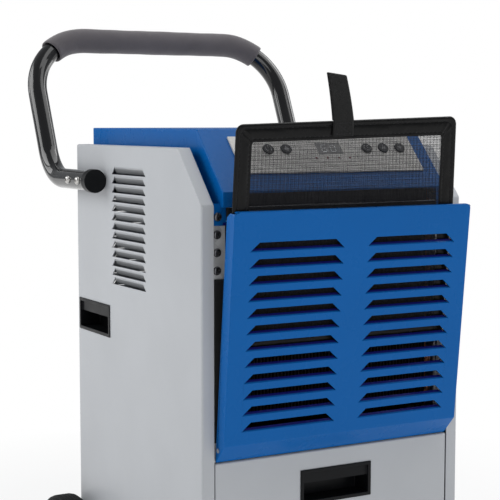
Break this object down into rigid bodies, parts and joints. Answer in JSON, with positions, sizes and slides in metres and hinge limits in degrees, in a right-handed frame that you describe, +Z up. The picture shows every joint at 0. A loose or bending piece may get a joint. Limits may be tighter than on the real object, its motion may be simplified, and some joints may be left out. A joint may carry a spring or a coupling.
{
  "type": "dehumidifier",
  "caption": "Portable commercial dehumidifier on two wheels: folded steel cabinet, tilting louvred front grille, pull-out air filter, sliding water tank and tubular handle.",
  "frame": {"origin": "on the floor, under the centre of the whole object's bounding box", "axes": "+Z up, -Y towards the front grille, +X to the right seen from the front"},
  "size_m": [0.445, 0.542, 0.7551],
  "materials": {
    "cabinet_grey": "light grey powder coat, fine orange peel",
    "cover_blue": "blue powder coat, satin",
    "galvanised": "galvanised sheet",
    "screws": "zinc plated",
    "axle_steel": "turned steel",
    "axle_clips": "washers and clips",
    "plate_grey": "moulded light grey",
    "display": "black display window",
    "led": "dark red lens",
    "circuit_board": "green board",
    "black_plastic": "fine moulded grain",
    "button_rubber": "dark moulded caps",
    "handle_black": "gloss black",
    "foam": "closed-cell foam sleeve",
    "fins": "thin aluminium fins",
    "copper": "copper",
    "inner_plastic": "dark moulded plastic",
    "hose": "soft grey hose",
    "compressor_black": "black enamel",
    "rubber_black": "moulded rubber",
    "electrics_grey": "grey housing",
    "rail_plastic": "slippery plastic rail",
    "vinyl_black": "black vinyl-bound border",
    "mesh_black": "fine open black netting",
    "webbing_black": "black webbing",
    "tank_plastic": "translucent white",
    "float_orange": "float",
    "wheel_grey": "moulded wheel centre",
    "tyre_black": "solid rubber tyre"
  },
  "bodies": {
    "cabinet": {"base_pan": "galvanised", "left_side_panel": "cabinet_grey", "right_side_panel": "cabinet_grey", "rear_panel": "cabinet_grey", "panel_screws": "screws", "top_cover": "cover_blue", "control_plate": "plate_grey", "display_window": "display", "indicator_leds": "led", "control_board": "circuit_board", "left_recess_grip": "black_plastic", "right_recess_grip": "black_plastic", "handle_tube": "handle_black", "handle_foam": "foam", "handle_end_caps": "black_plastic", "handle_bolts": "screws", "front_frame": "galvanised", "hinge_pins": "screws", "evaporator_fins": "fins", "evaporator_tubes": "copper", "condenser_fins": "fins", "condenser_tubes": "copper", "drip_tray": "inner_plastic", "drain_hose": "hose", "fan_shroud": "inner_plastic", "fan_motor": "inner_plastic", "motor_bracket": "galvanised", "shelf": "galvanised", "bulkhead": "galvanised", "compressor": "compressor_black", "compressor_mounts": "rubber_black", "refrigerant_lines": "copper", "filter_drier": "copper", "electrics_box": "electrics_grey", "cable_gland": "black_plastic", "drain_spout": "black_plastic", "axle": "axle_steel", "axle_clips": "axle_clips", "front_feet": "rubber_black", "tank_rails": "rail_plastic"},
    "grille": {"front_grille": "cover_blue", "filter_guides": "galvanised"},
    "filter": {"filter_frame": "vinyl_black", "filter_mesh": "mesh_black", "filter_strap": "webbing_black"},
    "tank": {"tank_front": "cabinet_grey", "tank_bin": "tank_plastic", "tank_grip": "black_plastic"},
    "float": {"tank_float": "float_orange"},
    "fan": {"fan_rotor": "inner_plastic", "motor_shaft": "axle_steel"},
    "left_wheel": {"left_wheel": "wheel_grey", "left_tyre": "tyre_black"},
    "right_wheel": {"right_wheel": "wheel_grey", "right_tyre": "tyre_black"},
    "power_button": {"power_button": "button_rubber"},
    "mode_button": {"mode_button": "button_rubber"},
    "timer_button": {"timer_button": "button_rubber"},
    "up_button": {"up_button": "button_rubber"},
    "down_button": {"down_button": "button_rubber"}
  },
  "joints": [
    {"name": "grille_tilt", "type": "hinge", "parent": "cabinet", "child": "grille", "pos_m": [0, -0.22449, 0.2734], "axis": [1, 0, 0], "range_deg": [-5.65, 0]},
    {"name": "filter_slide", "type": "slide", "parent": "grille", "child": "filter", "axis": [0, -0.0985, 0.9951], "range_m": [-0.0995, 0.162]},
    {"name": "tank_slide", "type": "slide", "parent": "cabinet", "child": "tank", "axis": [0, -1, 0], "range_m": [0, 0.25]},
    {"name": "float_swing", "type": "hinge", "parent": "tank", "child": "float", "pos_m": [-0.128, -0.09949, 0.165], "axis": [0, -1, 0], "range_deg": [0, 40]},
    {"name": "fan_spin", "type": "hinge", "parent": "cabinet", "child": "fan", "pos_m": [0, -0.09449, 0.425], "axis": [0, 1, 0], "continuous": true},
    {"name": "left_wheel_spin", "type": "hinge", "parent": "cabinet", "child": "left_wheel", "pos_m": [-0.198, 0.10651, 0.075], "axis": [1, 0, 0], "continuous": true},
    {"name": "right_wheel_spin", "type": "hinge", "parent": "cabinet", "child": "right_wheel", "pos_m": [0.198, 0.10651, 0.075], "axis": [1, 0, 0], "continuous": true},
    {"name": "power_press", "type": "slide", "parent": "cabinet", "child": "power_button", "axis": [0, 0.7328, -0.6804], "range_m": [0, 0.0015], "stiffness_N_per_m": 400},
    {"name": "mode_press", "type": "slide", "parent": "cabinet", "child": "mode_button", "axis": [0, 0.7328, -0.6804], "range_m": [0, 0.0015], "stiffness_N_per_m": 400},
    {"name": "timer_press", "type": "slide", "parent": "cabinet", "child": "timer_button", "axis": [0, 0.7328, -0.6804], "range_m": [0, 0.0015], "stiffness_N_per_m": 400},
    {"name": "up_press", "type": "slide", "parent": "cabinet", "child": "up_button", "axis": [0, 0.7328, -0.6804], "range_m": [0, 0.0015], "stiffness_N_per_m": 400},
    {"name": "down_press", "type": "slide", "parent": "cabinet", "child": "down_button", "axis": [0, 0.7328, -0.6804], "range_m": [0, 0.0015], "stiffness_N_per_m": 400}
  ]
}
